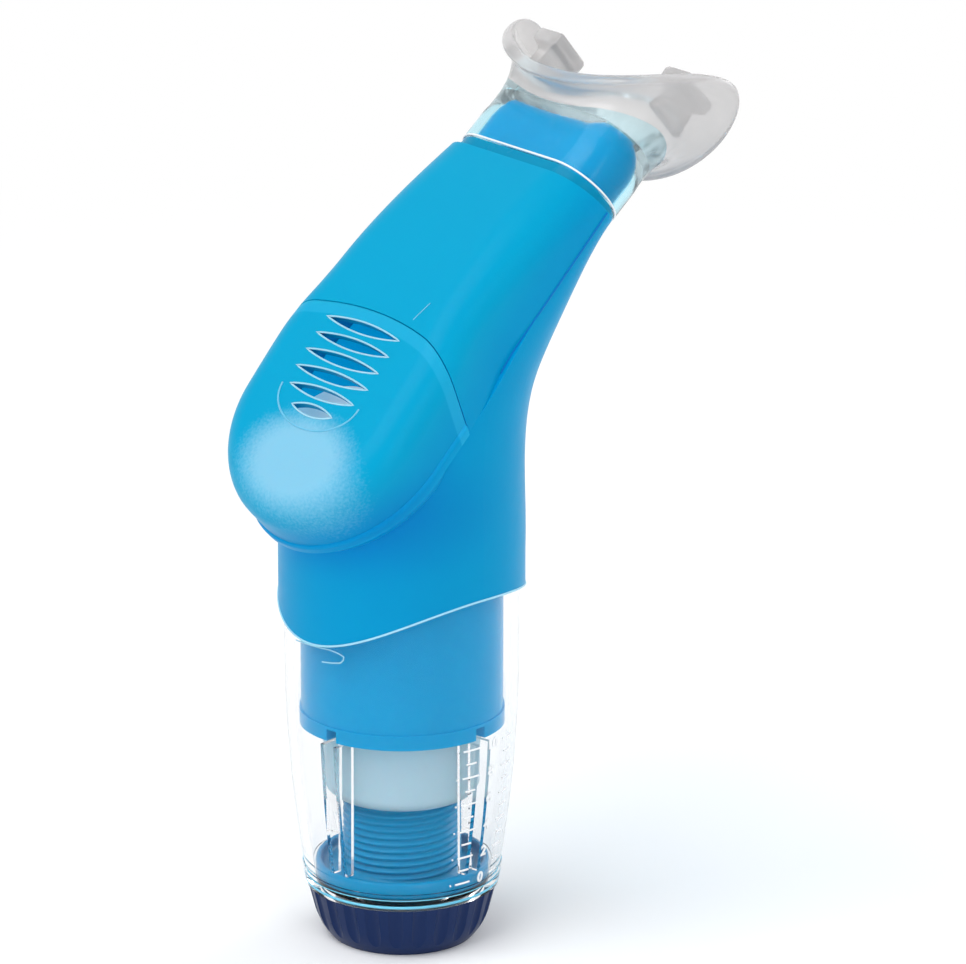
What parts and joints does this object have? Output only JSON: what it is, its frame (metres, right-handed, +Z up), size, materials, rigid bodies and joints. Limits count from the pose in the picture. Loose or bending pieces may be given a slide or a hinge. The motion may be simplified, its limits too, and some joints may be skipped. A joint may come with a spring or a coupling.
{
  "type": "inspiratory muscle trainer",
  "caption": "Hand-held breathing trainer: bent handle with vented nose, soft bite mouthpiece, clear barrel with a load scale and a knob that sets the spring load.",
  "frame": {"origin": "centre of the knob's flat underside, on the axis of the barrel", "axes": "+Z up the barrel, -Y towards the vented nose, +Y towards the user's mouth, +X to the side"},
  "size_m": [0.0582, 0.0989, 0.1727],
  "materials": {
    "navy_plastic": "satin moulded plastic",
    "blue_plastic": "glossy translucent moulded plastic",
    "blue_shell": "satin translucent moulded plastic",
    "frosted_shell": "frosted translucent moulded plastic",
    "clear_plastic": "clear moulded plastic",
    "frosted_plastic": "translucent moulded plastic",
    "white_plastic": "satin moulded plastic",
    "white_silicone": "soft silicone",
    "clear_silicone": "clear soft silicone",
    "seal_rubber": "nitrile rubber",
    "steel": "drawn stainless wire and screw stock"
  },
  "bodies": {
    "handle": {"main_body": "blue_shell", "handle_top_shell": "blue_shell", "mouth_spigot": "blue_plastic", "valve_deck": "blue_plastic", "inlet_duct": "blue_plastic", "exhale_seat": "white_plastic", "flap_stud": "white_plastic", "inner_barrel": "blue_plastic"},
    "vent_cover": {"vent_cover": "frosted_shell"},
    "exhale_flap": {"exhale_flap": "white_silicone"},
    "mouthpiece": {"mouthpiece": "clear_silicone"},
    "inhale_poppet": {"inhale_poppet": "white_plastic", "poppet_seal": "white_silicone"},
    "tensioner": {"clear_sleeve": "clear_plastic", "sleeve_o_ring": "seal_rubber", "column_o_ring": "seal_rubber"},
    "knob": {"knob": "navy_plastic", "thread_column": "blue_plastic", "column_screw": "steel"},
    "load_nut": {"load_nut": "frosted_plastic", "load_spring": "steel"}
  },
  "joints": [
    {"name": "cover_lift", "type": "slide", "parent": "handle", "child": "vent_cover", "axis": [0, -0.6884, 0.7254], "range_m": [0, 0.03]},
    {"name": "flap_lift", "type": "slide", "parent": "handle", "child": "exhale_flap", "axis": [0, -0.6884, 0.7254], "range_m": [0, 0.0012], "stiffness_N_per_m": 20, "springref_m": -0.0004},
    {"name": "mouthpiece_pull", "type": "slide", "parent": "handle", "child": "mouthpiece", "axis": [0, 0.7771, 0.6293], "range_m": [0, 0.03]},
    {"name": "poppet_open", "type": "slide", "parent": "handle", "child": "inhale_poppet", "axis": [0, 0, -1], "range_m": [0, 0.004], "stiffness_N_per_m": 600, "springref_m": -0.008},
    {"name": "tensioner_pull", "type": "slide", "parent": "handle", "child": "tensioner", "axis": [0, 0, -1], "range_m": [0, 0.06]},
    {"name": "knob_turn", "type": "hinge", "parent": "tensioner", "child": "knob", "pos_m": [0, 0, 0], "axis": [0, 0, 1], "range_deg": [-1800, 1800]},
    {"name": "nut_travel", "type": "slide", "parent": "tensioner", "child": "load_nut", "axis": [0, 0, 1], "range_m": [-0.01441, 0.01441], "deforming": ["load_spring"]}
  ],
  "couplings": [
    {"joint": "nut_travel", "follows": "knob_turn", "m_per_rad": 0.00045837}
  ]
}
